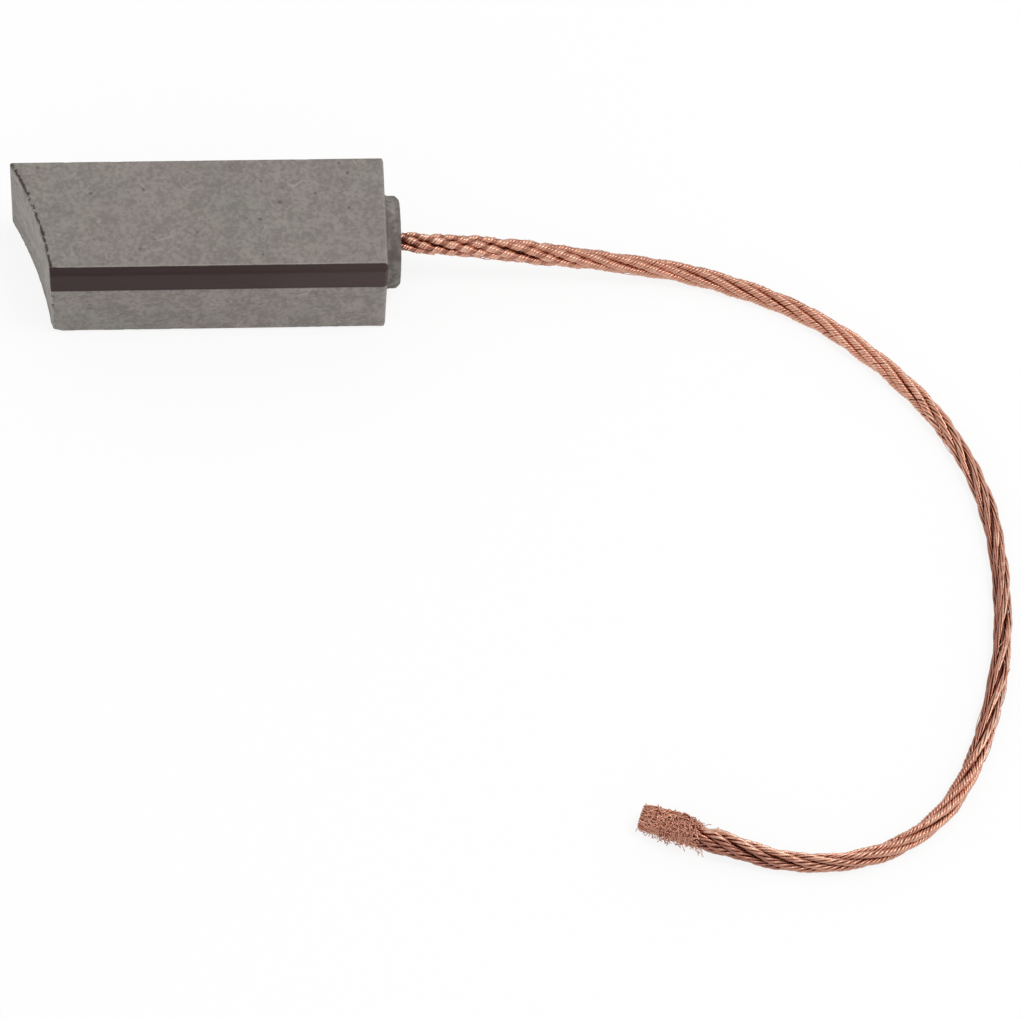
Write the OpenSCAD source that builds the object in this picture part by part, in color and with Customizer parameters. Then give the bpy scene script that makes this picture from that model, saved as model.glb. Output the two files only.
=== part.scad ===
// Carbon brush of a small DC machine, worn in, lying on its side.
// X runs along the brush: the worn contact face looks to -X, the wire leaves to +X.
// Y is the depth, with the dark strip at the front (-Y). Z is up, and the block lies on Z = 0.
// The origin is under the middle of the block with its boss. All sizes are in millimetres.

/* [Block] */
// Length of the longer, rear side, from the sharp tip to the rear face
block_l = 22.1; // [16:0.1:30]
// Depth of the block, round the commutator
block_w = 8; // [6.5:0.1:12]
// Height of the block, along the commutator's axis
block_h = 6.3; // [5.8:0.1:10]
// Rounding of the four long edges
edge_r = 0.25; // [0.1:0.05:0.5]
// Chamfer round the rear face
rear_chamfer = 0.15; // [0.1:0.05:0.35]

/* [Worn contact face] */
// Radius of the commutator that the face has worn to
contact_r = 25; // [15:0.5:60]
// How much shorter the front side is than the rear side
wear_skew = 2.4; // [0.5:0.1:4]

/* [Strip along the upper front edge] */
// Thickness of the strip, and how deep its rebate is with the bond
strip_t = 0.45; // [0.3:0.05:1]
// Height of the strip
strip_h = 1.8; // [1:0.1:2.6]
// Film of bond between the strip and its rebate
bond_gap = 0.02; // [0.01:0.01:0.1]

/* [Boss on the rear face] */
// Diameter of the boss that centres the spring
boss_d = 5.5; // [4:0.1:5.7]
// How far the boss stands out of the rear face
boss_h = 0.9; // [0.6:0.1:2]
// Chamfer round the boss's rim
boss_chamfer = 0.25; // [0.1:0.05:0.35]
// Radius of the hollow corner at the boss's foot
boss_root_r = 0.2; // [0.1:0.05:0.25]

/* [Tamped connection] */
// Diameter of the blind hole that takes the wire
hole_d = 2.6; // [2:0.1:3.4]
// Depth of the hole's straight part, from the end of the boss
hole_depth = 5.6; // [4:0.1:8]
// Angle of the drill's point at the bottom of the hole
drill_angle = 118; // [90:1:140]
// Spacing of the ribs cut in the wall of the hole
rib_pitch = 0.8; // [0.6:0.05:1.2]
// Depth of the ribs
rib_depth = 0.15; // [0.05:0.05:0.25]
// How far the rammed powder ends below the boss's face
plug_recess = 0.1; // [0.05:0.05:0.4]
// Play left between the rammed powder and what it touches
pack_gap = 0.01; // [0.01:0.01:0.04]

/* [Shunt wire] */
// Diameter of the stranded wire
wire_d = 1.1; // [0.8:0.05:1.6]
// Width of the frayed end
fray_d = 1.6; // [1.2:0.05:2]
// How deep the wire is buried, from the end of the boss
wire_buried = 5; // [3:0.1:5.4]

/* [Hidden] */

// Steps round a full circle
round_fn = 96;
// How far a cutting shape runs past what it cuts
cut_over = 1;

// Planes across the brush, and its centre line
boss_end_x = (block_l + boss_h) / 2;
rear_x = boss_end_x - boss_h;
tip_x = rear_x - block_l;
axis_z = block_h / 2;

// Centre of the commutator: the worn face is the arc of radius contact_r that runs from the
// tip at the rear edge to the front edge, wear_skew nearer to the boss
face_chord = norm([wear_skew, block_w]);
face_mid = [tip_x + wear_skew / 2, 0];
commutator_reach = sqrt(pow(contact_r, 2) - pow(face_chord / 2, 2));
commutator_xy = face_mid + commutator_reach * [-block_w, -wear_skew] / face_chord;

// Cone left by the drill's point
drill_tip_l = hole_d / 2 / tan(drill_angle / 2);

// Course of the wire's centre, from the end of the boss: straight out, down to the surface,
// and round in one loose bend. The last stretch rises as the frayed end grows thicker.
lie_z = wire_d / 2;
fray_z = fray_d / 2;
wire_course = [
    [14, -0.2, 3.1], [17, -0.3, 2.8], [20, -0.4, 2.3], [23, -0.5, 1.7], [26, -0.6, 1.1],
    [29, -1, 0.7], [31.5, -1.8, lie_z], [34, -2.9, lie_z], [36.5, -4.4, lie_z],
    [39, -6.5, lie_z], [41.1, -8.7, lie_z], [43, -11.3, lie_z], [44.5, -14.4, lie_z],
    [45.4, -17.6, lie_z], [45.7, -21, lie_z], [45.6, -24.4, lie_z], [45.1, -27.9, lie_z],
    [44.1, -31.5, lie_z], [42.7, -34.8, lie_z], [41.2, -37.1, lie_z], [39.3, -38.8, lie_z],
    [37, -39.9, lie_z], [34.2, -40.4, lie_z], [31.2, -40.1, lie_z], [28.8, -39.4, fray_z],
    [26.2, -38.4, fray_z], [23.7, -37.4, fray_z]];
// How many of the last points belong to the frayed end
fray_points = 3;
wire_sides = 8;

// ---------------------------------------------------------------- carbon block

// Outline of the block across its length, as [y, z]: a rectangle with round corners
module block_section() {
    translate([-block_w / 2 + edge_r, 0]) square([block_w - 2 * edge_r, block_h]);
    translate([-block_w / 2, edge_r]) square([block_w, block_h - 2 * edge_r]);
    for (side = [-1, 1], z = [edge_r, block_h - edge_r])
        translate([side * (block_w / 2 - edge_r), z]) circle(r = edge_r, $fn = round_fn / 2);
}

// Rectangle that the strip and its bond take out of the upper front corner, as [y, z]
module rebate_section(bond) {
    translate([-block_w / 2 - cut_over, block_h - strip_h - bond])
        square([strip_t + bond + cut_over, strip_h + bond + cut_over]);
}

// Turns an outline in [y, z] into a bar along X
module along_x(x0, x1) {
    translate([x0, 0, 0]) rotate([90, 0, 90]) linear_extrude(x1 - x0) children();
}

// The commutator, which has worn the contact face to its own radius
module commutator() {
    translate([commutator_xy[0], commutator_xy[1], -cut_over])
        cylinder(r = contact_r, h = block_h + 2 * cut_over, $fn = 4 * round_fn);
}

// Wedge that cuts a chamfer along one edge of the rear face. The edge runs along local Z.
module edge_wedge(length, size) {
    linear_extrude(length + 2 * cut_over, center = true)
        polygon([[-size, cut_over], [-size, 0], [0, -size], [cut_over, -size],
                 [cut_over, cut_over]]);
}

module rear_chamfers() {
    for (turn = [0, 180])
        translate([rear_x, 0, axis_z]) rotate([turn, 0, 0]) {
            translate([0, block_w / 2, 0]) edge_wedge(block_h, rear_chamfer);
            translate([0, 0, block_h / 2]) rotate([90, 0, 0])
                edge_wedge(block_w, rear_chamfer);
        }
}

// Places a shape turned about Z on the brush's centre line, with its +Z towards the wire
module on_axis(x) {
    translate([x, 0, axis_z]) rotate([0, 90, 0]) children();
}

// Boss with a hollow corner at its foot and a chamfered rim
module boss() {
    foot = [for (a = [0:15:90])
        [boss_d / 2 + boss_root_r * (1 - sin(a)), boss_root_r * (1 - cos(a))]];
    on_axis(rear_x) rotate_extrude($fn = round_fn)
        polygon(concat(
            [[0, -cut_over], [boss_d / 2 + boss_root_r, -cut_over]],
            foot,
            [[boss_d / 2, boss_h - boss_chamfer], [boss_d / 2 - boss_chamfer, boss_h],
             [0, boss_h]]));
}

// Half outline of the ribbed blind hole, as [radius, depth], shrunk by a play
function hole_outline(play, top) = let (
        ribs = floor((hole_depth - rib_pitch) / rib_pitch),
        r = hole_d / 2 - play,
        straight = -hole_depth + play)
    concat(
        [[0, straight - drill_tip_l * r / (hole_d / 2)], [r, straight]],
        [for (i = [1:ribs], step = [0:2])
            [r + (step == 1 ? rib_depth : 0),
             -hole_depth + rib_pitch * (i - 0.5 + step / 4)]],
        [[r, top], [0, top]]);

module tamping_hole(play, top) {
    on_axis(boss_end_x) rotate_extrude($fn = round_fn) polygon(hole_outline(play, top));
}

module carbon_block() {
    color([0.53, 0.5, 0.48])
    difference() {
        union() {
            difference() {
                along_x(tip_x, rear_x) difference() {
                    block_section();
                    rebate_section(bond_gap);
                }
                commutator();
                rear_chamfers();
            }
            boss();
        }
        tamping_hole(0, cut_over);
    }
}

// ------------------------------------------------------------ strip in the rebate

// The strip fills the corner out to the block's own rounded edge, and has worn with the face
module insulating_strip() {
    color([0.26, 0.21, 0.2])
    difference() {
        along_x(tip_x, rear_x) intersection() {
            block_section();
            rebate_section(0);
        }
        commutator();
        rear_chamfers();
    }
}

// ------------------------------------------------------------- tamped connection

// Rammed metal powder: it fills the ribbed hole and grips the wire
module tamping_plug() {
    color([0.4, 0.3, 0.26])
    difference() {
        tamping_hole(pack_gap, -plug_recess);
        on_axis(boss_end_x - wire_buried - pack_gap)
            cylinder(d = wire_d + 2 * pack_gap, h = wire_buried + cut_over, $fn = round_fn);
    }
}

// ------------------------------------------------------------------- shunt wire

// Every point of the wire's centre, from its buried end to the frayed tip
function wire_points() = concat(
    [[boss_end_x - wire_buried, 0, axis_z], [boss_end_x, 0, axis_z]], wire_course);

// Direction of the wire at one of its points
function heading(points, i) = let (
        d = points[min(i + 1, len(points) - 1)] - points[max(i - 1, 0)])
    d / norm(d);

// One ring of points across the wire
function wire_ring(centre, ahead, d) = let (
        side = cross([0, 0, 1], ahead) / norm(cross([0, 0, 1], ahead)),
        up = cross(ahead, side))
    [for (k = [0:wire_sides - 1]) let (a = 360 * (k + 0.5) / wire_sides)
        centre + d / 2 * (cos(a) * side + sin(a) * up)];

module shunt_wire() {
    points = wire_points();
    last = len(points) - 1;
    rings = [for (i = [0:last]) wire_ring(points[i], i < 2 ? [1, 0, 0] : heading(points, i),
                                          i > last - fray_points ? fray_d : wire_d)];
    sides = [for (i = [0:last - 1], k = [0:wire_sides - 1]) let (
            a = i * wire_sides + k,
            b = i * wire_sides + (k + 1) % wire_sides)
        each [[a, b, b + wire_sides], [a, b + wire_sides, a + wire_sides]]];
    start_cap = [for (k = [wire_sides - 1:-1:0]) k];
    end_cap = [for (k = [0:wire_sides - 1]) last * wire_sides + k];
    color([0.72, 0.43, 0.32])
    polyhedron(points = [for (ring = rings) each ring],
               faces = concat([start_cap], sides, [end_cap]));
}

carbon_block();
insulating_strip();
tamping_plug();
shunt_wire();
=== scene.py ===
# %% [markdown]
# # Dressing a worn carbon brush
#
# A carbon brush carries current to the turning commutator of a small motor. This one is a block
# pressed from copper powder and graphite, with a dark strip bonded along one edge. A soft copper
# rope is tamped into the boss on its rear end and leads the current away.
#
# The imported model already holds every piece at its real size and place. This script adds what
# the eye sees: the rope's own wires, the frayed end, chipped edges, grain and wear. Blender works
# in metres, so sizes are written as millimetres times MM.

import math

import bmesh
import bpy
import numpy as np
from mathutils import Matrix, Vector, noise


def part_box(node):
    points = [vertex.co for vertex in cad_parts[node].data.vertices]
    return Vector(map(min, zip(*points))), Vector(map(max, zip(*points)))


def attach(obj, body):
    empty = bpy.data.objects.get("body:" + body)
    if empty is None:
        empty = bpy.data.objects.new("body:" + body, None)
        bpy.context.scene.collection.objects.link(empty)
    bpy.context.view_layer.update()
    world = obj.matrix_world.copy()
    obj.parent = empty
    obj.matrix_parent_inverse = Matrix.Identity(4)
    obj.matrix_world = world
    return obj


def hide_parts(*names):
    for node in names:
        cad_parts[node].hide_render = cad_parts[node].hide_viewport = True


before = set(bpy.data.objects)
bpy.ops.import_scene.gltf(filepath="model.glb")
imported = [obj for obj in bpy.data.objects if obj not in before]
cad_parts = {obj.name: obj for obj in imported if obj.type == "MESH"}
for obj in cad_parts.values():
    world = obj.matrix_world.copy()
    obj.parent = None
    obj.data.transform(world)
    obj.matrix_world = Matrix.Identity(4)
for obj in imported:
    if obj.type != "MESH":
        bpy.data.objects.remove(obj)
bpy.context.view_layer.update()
MM = 0.001
block_low, block_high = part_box("carbon_block")
print("nodes:", sorted(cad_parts))
print("block from", block_low[:], "to", block_high[:])

# %% [markdown]
# ## The camera comes first
#
# A product shot like this is taken from far away with a long lens, so that the block's edges stay
# nearly parallel. We give the camera as a photographer would: what it aims at, how far away and
# how high it stands, how far round it has walked, and how much it is tipped. Placing it before
# any piece lets every later choice be judged in the picture that matters.

# %% Place the camera
aim = Vector((17.41, -16.72, 0)) * MM
distance = 309.7 * MM
height_angle = math.radians(59.41)
walked_left = math.radians(7.93)
roll = math.radians(5.84)

camera_data = bpy.data.cameras.new("camera")
camera_data.sensor_width = 36
camera_data.lens = 187.3
camera_data.clip_start = 0.01
camera = bpy.data.objects.new("camera", camera_data)
bpy.context.scene.collection.objects.link(camera)
bpy.context.scene.camera = camera

outward = Vector((-math.sin(walked_left) * math.cos(height_angle),
                  -math.cos(walked_left) * math.cos(height_angle),
                  math.sin(height_angle)))
turned = (-outward).to_track_quat("-Z", "Y").to_matrix() @ Matrix.Rotation(roll, 3, "Z")
camera.matrix_world = Matrix.Translation(aim + distance * outward) @ turned.to_4x4()
print("camera at", [round(c / MM, 1) for c in camera.matrix_world.translation], "mm")

# %% [markdown]
# ## The course of the rope
#
# The rope leaves the boss straight, sinks to the table under its own weight and lies there in one
# loose bend. A cord is described best by a few given points. They are the same points that the
# imported model uses, so the detailed rope lies exactly where its plain stand-in lies.
#
# A Catmull-Rom curve passes through every one of its points, which a Bezier or NURBS curve
# doesn't. We walk along it in equal steps, because each wire of the rope will be wound round it.

# %% Choose the points of the course
lie = 0.55
fray_lie = 0.8
exit_point = np.array([block_high.x, 0, (block_low.z + block_high.z) / 2])
wire_course = np.array([
    (14, -0.2, 3.1), (17, -0.3, 2.8), (20, -0.4, 2.3), (23, -0.5, 1.7), (26, -0.6, 1.1),
    (29, -1, 0.7), (31.5, -1.8, lie), (34, -2.9, lie), (36.5, -4.4, lie), (39, -6.5, lie),
    (41.1, -8.7, lie), (43, -11.3, lie), (44.5, -14.4, lie), (45.4, -17.6, lie),
    (45.7, -21, lie), (45.6, -24.4, lie), (45.1, -27.9, lie), (44.1, -31.5, lie),
    (42.7, -34.8, lie), (41.2, -37.1, lie), (39.3, -38.8, lie), (37, -39.9, lie),
    (34.2, -40.4, lie), (31.2, -40.1, lie), (28.8, -39.4, fray_lie), (26.2, -38.4, fray_lie),
    (23.7, -37.4, fray_lie)]) * MM
buried = 2 * MM
ring_step = 0.11 * MM
course = np.vstack([exit_point - (buried, 0, 0), exit_point, wire_course])
print(len(course), "points, the first", buried / MM, "mm inside the boss")


# %% Walk along the course
def unit(vectors):
    """Each vector at length 1."""
    return vectors / np.linalg.norm(vectors, axis=-1, keepdims=True)


def walk(points, step):
    """A Catmull-Rom curve through the points, cut into equal steps: (distances, places)."""
    p = np.vstack([2 * points[0] - points[1], points, 2 * points[-1] - points[-2]])
    t = np.linspace(0, 1, 24, endpoint=False)[:, None]
    spans = [0.5 * (2 * b + (c - a) * t + (2 * a - 5 * b + 4 * c - d) * t ** 2
                    + (3 * b - a - 3 * c + d) * t ** 3)
             for a, b, c, d in zip(p[:-3], p[1:-2], p[2:-1], p[3:])]
    dense = np.vstack([*spans, points[-1:]])
    travelled = np.append(0, np.cumsum(np.linalg.norm(np.diff(dense, axis=0), axis=1)))
    stops = np.linspace(0, travelled[-1], round(travelled[-1] / step) + 1)
    return stops, np.column_stack([np.interp(stops, travelled, dense[:, k]) for k in range(3)])


along, centre = walk(course, ring_step)
along = along - buried
ahead = unit(np.gradient(centre, axis=0))
sideways = unit(np.cross((0, 0, 1), ahead))
upward = np.cross(ahead, sideways)
free_length = along[-1]
print(f"{len(centre)} steps, {free_length / MM:.1f} mm of rope outside the boss")

# %% [markdown]
# ## A helper that makes wires
#
# Everything copper here is a round wire that follows some line. Curve objects with a bevel would
# do for a handful, but here are hundreds, so we sweep rings of points with numpy and build one
# mesh from them. Each ring is carried on from the last one with as little turning as possible,
# which keeps the tube from twisting where its line bends. Marks are numbers kept on the points,
# and the material reads them later.

# %% Helpers for pieces and their marks
def new_piece(name, mesh):
    """An object for the mesh, in the scene, smooth shaded."""
    mesh.shade_smooth()
    piece = bpy.data.objects.new(name, mesh)
    bpy.context.scene.collection.objects.link(piece)
    return piece


def mark(mesh, name, values):
    """Keeps one number per point of the mesh, for its material to read."""
    attribute = mesh.attributes.new(name, "FLOAT", "POINT")
    attribute.data.foreach_set("value", np.asarray(values, np.float32).ravel())


print("helpers:", new_piece.__name__, "and", mark.__name__)

# %% Sweep many wires into one mesh
floor_gap = 0.02 * MM


def sweep(paths, radius, sides):
    """Rings of points round each path, which are wires x steps x 3: wires x steps x sides x 3."""
    forward = unit(np.gradient(paths, axis=1))
    across = np.empty_like(paths)
    across[:, 0] = unit(np.cross(forward[:, 0], (0.1, 0.2, 1)))
    for i in range(1, paths.shape[1]):
        kept = across[:, i - 1]
        kept = kept - (kept * forward[:, i]).sum(1, keepdims=True) * forward[:, i]
        across[:, i] = unit(kept)
    above = np.cross(forward, across)
    turns = np.arange(sides) * 2 * math.pi / sides
    spokes = (np.cos(turns)[:, None] * across[:, :, None]
              + np.sin(turns)[:, None] * above[:, :, None])
    rings = paths[:, :, None] + np.asarray(radius)[..., None, None] * spokes
    rings[..., 2] = np.maximum(rings[..., 2], floor_gap)
    return rings


def wire_mesh(name, rings):
    """A closed tube for each wire, all in one mesh."""
    wires, steps, sides, _ = rings.shape
    index = np.arange(wires * steps * sides).reshape(wires, steps, sides)
    here, there = index[:, :-1], index[:, 1:]
    walls = np.stack([here, np.roll(here, -1, 2), np.roll(there, -1, 2), there], -1)
    faces = walls.reshape(-1, 4).tolist()
    faces += index[:, 0, ::-1].tolist() + index[:, -1].tolist()
    mesh = bpy.data.meshes.new(name)
    mesh.from_pydata(rings.reshape(-1, 3).tolist(), [], faces)
    return mesh


def wander(s, amount, wavelength, random, wires=1):
    """A smooth random value along s, one row for each wire."""
    total = 0
    for _ in range(4):
        length = wavelength * random.uniform(0.6, 1.8, (wires, 1))
        phase = random.uniform(0, 2 * math.pi, (wires, 1))
        total = total + np.sin(2 * math.pi * s / length + phase)
    return amount * total / 2


print("wires stay", floor_gap / MM, "mm above the table")

# %% [markdown]
# ## The rope
#
# A brush's shunt is a rope: five bundles are laid round a thin core, and each bundle is itself
# twisted from finer strands, the other way round. That is why the eye sees dark slanting gaps
# between the bundles, crossed by fine bright glints. A bump texture could suggest the gaps, but
# the outline of the rope would stay a plain tube, so we wind real strands.
#
# The lay is the length of one full turn, and it isn't even. The rope is thicker and its strands
# are loosened where it was tamped. Handling has untwisted it at the far side of the bend, where
# the strands run almost straight and the gaps gape. It opens near its cut end.
#
# Next to the boss, two strands of each bundle lie deeper than their neighbours and all are a
# little swollen, so that the others stand out as separate ovals.
#
# Lengths along the rope are given in millimetres from the boss, and np.interp blends a value from
# one of them to the next.

# %% Say how the rope is laid
bundles = 5
strands_per_bundle = 5
bundle_orbit = 0.345 * MM
strand_orbit = 0.128 * MM
strand_radius = 0.075 * MM
wire_sides = 5
s_mm = along / MM

bundle_lay = np.interp(s_mm, [0, 6, 12, 35, 40, 48, 58, 66, 74],
                       [9.5, 11.5, 12, 12, 10, 14.5, 14.5, 12.5, 10]) * MM
strand_lay = np.interp(s_mm, [0, 10, 34, 39, 56, 60, 67, 71],
                       [0.8, 1, 1, 6, 6, 1.1, 1.2, 2.6]) * MM
girth = np.interp(s_mm, [-0.3, 0.6, 8, 12, 22, 58, 66, 71, 75.5, 77.4, 79],
                  [1, 1.2, 1.27, 1.11, 1.04, 1.09, 1, 1.02, 1.2, 1.4, 1])
fullness = np.interp(s_mm, [0, 5, 12, 33, 40, 57, 61, 68, 74],
                     [0.98, 1.08, 1.18, 1.14, 0.86, 0.86, 1.04, 1.08, 0.98]) * girth
sorted_out = np.interp(s_mm, [4, 16], [1, 0])
sunk_strands = 2
sunk_pull, other_pull = 0.4, 0.05
swelling = 0.2
winding = np.cumsum(2 * math.pi * ring_step / bundle_lay)
unwinding = -np.cumsum(2 * math.pi * ring_step / strand_lay)
print(f"{winding[-1] / (2 * math.pi):.1f} turns of the bundles, "
      f"{-unwinding[-1] / (2 * math.pi):.1f} of the strands")


# %% Wind the strands
def round_rope(angle, radius):
    """Offsets from the rope's centre line, at an angle and a distance for each step."""
    return radius[:, None] * (np.cos(angle)[:, None] * sideways
                              + np.sin(angle)[:, None] * upward)


def bundle_line(which, random):
    """The middle of one bundle, which is laid round the rope's centre line."""
    angle = winding + which * 2 * math.pi / bundles + wander(s_mm, 0.12, 9, random)[0]
    orbit = bundle_orbit * girth * (1 + wander(s_mm, 0.06, 7, random)[0])
    return centre + round_rope(angle, orbit)


def strand_lines(middle, spread, random):
    """The strands of one bundle, which are laid round its middle the other way."""
    lines = []
    start = random.uniform(0, 2 * math.pi)
    for k in range(strands_per_bundle):
        angle = unwinding + start + k * 2 * math.pi / strands_per_bundle
        orbit = strand_orbit * spread * fullness * (1 + wander(s_mm, 0.1, 4, random)[0])
        pull = sunk_pull if k < sunk_strands else other_pull
        orbit = orbit * (1 - pull * sorted_out)
        lines.append(middle + round_rope(angle + wander(s_mm, 0.15, 5, random)[0], orbit))
    return lines


random = np.random.default_rng(7)
middles = [bundle_line(b, random) for b in range(bundles)]
strands = np.array([line for middle in middles for line in strand_lines(middle, 1, random)])
thickness = strand_radius * fullness * (1 + swelling * sorted_out)
strand_rings = sweep(strands, np.tile(thickness, (len(strands), 1)), wire_sides)
rope = new_piece("shunt_rope", wire_mesh("shunt_rope", strand_rings))
print("rope:", len(strands), "strands,", len(rope.data.polygons) * 2, "triangles")

# %% [markdown]
# ## Where the rope is bright and where it is brown
#
# Copper browns with age, and stays bright only where something rubs it. The grooves between the
# strands are never rubbed. Shade is painted on the inner side of the bend, and where the rope
# flares out before its frayed end, on the other side; a highlight is painted on the side opposite
# the shade. Each point of the rope gets numbers that say how deep in a groove, how browned or
# shaded and how rubbed or lit it is.

# %% Mark the grooves, the painted shade and the painted highlight
def smooth(values, low, high):
    """Values taken smoothly from 0 at low to 1 at high, and held there."""
    t = np.clip((values - low) / (high - low), 0, 1)
    return t * t * (3 - 2 * t)


groove_top, groove_depth, sunk_shade = 0.86, 0.35, 0.9
offset = strand_rings - centre[None, :, None]
rope_radius = (bundle_orbit * girth + (strand_orbit + strand_radius) * fullness)[None, :, None]
height_out = np.linalg.norm(offset, axis=-1) / rope_radius
gape = np.interp(s_mm, [0, 3, 36, 46, 56, 63, 68, 73],
                 [0.7, 0.3, 0.25, 0.9, 0.8, 0.4, 0.4, 0.45])[None, :, None]
# How strongly shade and a highlight are painted on the two sides of the rope, along its length.
painted_side_light = np.interp(s_mm, [32, 38, 46, 57, 62, 71.5, 74.5],
                 [0, 0.2, 0.85, 0.85, 0.3, 0.3, 0.8])[None, :, None]
faintly_aged = np.interp(s_mm, [6, 14, 22, 30], [0, 0.16, 0.1, 0])[None, :, None]
# The side that gets painted shade: the inner side of the bend, and near the frayed end the other
# side.
to_left = np.interp(s_mm, [64, 73], [-0.9, 2.2])[:, None]
to_top = np.interp(s_mm, [64, 73], [-0.3, -0.45])[:, None]
shade_side = (to_left * sideways + to_top * upward)[None, :, None]
facing = (unit(offset) * shade_side).sum(-1)
# Faintly browned along an early stretch, and painted shade on the shaded side.
browned_and_shaded = np.maximum(smooth(facing, -0.6, 0.5) * painted_side_light, faintly_aged)
# The opposite side gets a painted highlight.
highlight_side = smooth(-facing, -0.1, 0.6) * smooth(height_out, 0.7, 0.85) * painted_side_light
# Patina in the grooves, more where the gaps gape and less on the painted highlight side. The
# strands that lie deeper next to the boss are painted dark, as shade.
patina_and_shade = np.clip((groove_top - height_out) / groove_depth, 0, 1) * gape
sunk = (np.arange(len(strands)) % strands_per_bundle < sunk_strands)[:, None, None]
patina_and_shade = np.maximum(patina_and_shade, sunk_shade * sunk * sorted_out[None, :, None])
mark(rope.data, "patina_and_shade", patina_and_shade * (1 - 0.5 * smooth(-facing, 0, 0.6) * painted_side_light))
mark(rope.data, "browned_and_shaded", browned_and_shaded)
mark(rope.data, "rubbed_and_highlight", np.maximum(smooth(height_out, 0.9, 1.04), highlight_side))
mark(rope.data, "tint", np.repeat(random.uniform(0, 1, len(strands)),
                                  len(centre) * wire_sides))
print(f"browned by {browned_and_shaded.mean():.2f} and sunk in grooves by {patina_and_shade.mean():.2f} on average")

# %% [markdown]
# ## The core of the rope
#
# A thin bundle runs down the middle. It is hardly seen, but without it light would pass between
# the bundles where the rope is loose.

# %% Wind the core of the rope
core_radius = 0.095 * MM
core_spread = 0.5
core_strands = np.array(strand_lines(centre, core_spread, random))
core_rings = sweep(core_strands, np.full(core_strands.shape[:2], core_radius), wire_sides)
core = new_piece("core_bundle", wire_mesh("core_bundle", core_rings))
# The core is painted fully dark, as shade deep inside the rope.
mark(core.data, "patina_and_shade", np.ones(len(core.data.vertices)))
mark(core.data, "tint", np.full(len(core.data.vertices), 0.5))
print("core:", len(core.data.polygons) * 2, "triangles")

# %% [markdown]
# ## The frayed end
#
# Where the rope was cut, its finest wires have sprung out of their lay into a crumpled tuft with
# a blunt, almost square end. No simulation is needed: each wire keeps its place in the tuft's
# cross section and wobbles about it with a few sine waves of its own, and a rounded square keeps
# it from straying. The wires are crowded near the surface, where they show. The tuft lies a little
# to one side of the rope's line, and its wires are browner than the rope's.
#
# In the code, place is a wire's own spot in the cross section, from -1 to 1 both ways, and a and b
# are where its wobble takes it. They are held inside the rounded square, and only then turned into
# real distances from the rope's line.

# %% Crumple the tuft
tuft_wires = 170
tuft_steps = 44
tuft_radius = 0.045 * MM
tuft_width = 0.64 * MM
tuft_wobble, wobble_length = 0.34, 1.2
squareness = 5


def on_course(s):
    """The rope's centre line and its two cross directions at any distances s."""
    return [np.stack([np.interp(s, along, field[:, k]) for k in range(3)], -1)
            for field in (centre, sideways, upward)]


start = random.uniform(78.1, 79.3, (tuft_wires, 1)) * MM
end = free_length - np.abs(random.normal(0, 0.22, (tuft_wires, 1))) * MM
steps = np.linspace(0, 1, tuft_steps)[None, :]
s = start + (end - start) * steps
place = random.uniform(-1, 1, (tuft_wires, 2))
place *= (random.uniform(0.62, 1, tuft_wires) / np.abs(place).max(1))[:, None]
a = place[:, :1] + wander(s / MM, tuft_wobble, wobble_length, random, tuft_wires)
b = place[:, 1:] + wander(s / MM, tuft_wobble, wobble_length, random, tuft_wires)
stray = (np.abs(a) ** squareness + np.abs(b) ** squareness) ** (1 / squareness)
limit = random.uniform(0.84, 1.06, (tuft_wires, 1))
hold = np.minimum(1, limit / stray)
print("wires held back:", int((hold < 1).any(1).sum()))

# %% Sweep the tuft's wires
width = tuft_width * np.interp(s / MM, [78.1, 79.1, 80.5, 82], [0.95, 1.08, 1, 0.93])
middle, left, top = on_course(s)
aside = np.interp(s / MM, [77.4, 79.4, 80.6, 82], [0, 0.2, 0.15, 0.03]) * MM
middle = middle + aside[..., None] * (0, 1, 0)
tuft_lines = middle + (a * hold * width)[..., None] * left + (b * hold * width)[..., None] * top
tuft_rings = sweep(tuft_lines, np.full(s.shape, tuft_radius), wire_sides)
tuft = new_piece("frayed_tuft", wire_mesh("frayed_tuft", tuft_rings))
# Wires further inside the tuft are painted darker, as shade.
inside = 1 - np.repeat((stray * hold)[..., None], wire_sides, 2)
mark(tuft.data, "patina_and_shade", np.clip(inside * 1.2, 0, 0.4))
mark(tuft.data, "tint", np.repeat(random.uniform(1, 2.2, tuft_wires), tuft_steps * wire_sides))
print("tuft:", tuft_wires, "wires,", len(tuft.data.polygons) * 2, "triangles")

# %% [markdown]
# ## Loose hairs
#
# Handling breaks single wires out of the lay. Near the cut end they stand away from the tuft like
# short hairs. Further up, a few lie just proud of the rope and come back to it. They are tiny, but
# they are what tells the eye that the metal is soft and fine.

# %% Pull out the hairs
hair_radius = 0.022 * MM
hair_steps = 16
tuft_from = 78 * MM
tuft_surface = 0.68 * MM
rope_surface = 0.5 * MM


def hairs(first, last, count, length, lift, free, random):
    """Wires that leave the rope between two distances. A free one ends in the air."""
    begin = random.uniform(first, last, (count, 1)) * MM
    reach = random.uniform(0.5, 1, (count, 1)) * length * MM
    reach *= np.where(random.uniform(size=(count, 1)) < 0.5, -1, 1) if free else 1
    t = np.linspace(0, 1, hair_steps)[None, :]
    middle, left, top = on_course(np.clip(begin + reach * t, 0, free_length))
    rise = (t ** 1.3 if free else np.sin(math.pi * t)) * lift * MM
    rise = rise * random.uniform(0.4, 1, (count, 1))
    angle = random.uniform(0, 2 * math.pi, (count, 1)) + wander(t, 0.5, 1.2, random, count)
    surface = np.interp(begin, along, girth) * rope_surface
    out = np.where(begin > tuft_from, tuft_surface, surface) + rise
    return middle + (out * np.cos(angle))[..., None] * left + (out * np.sin(angle))[..., None] * top


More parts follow.
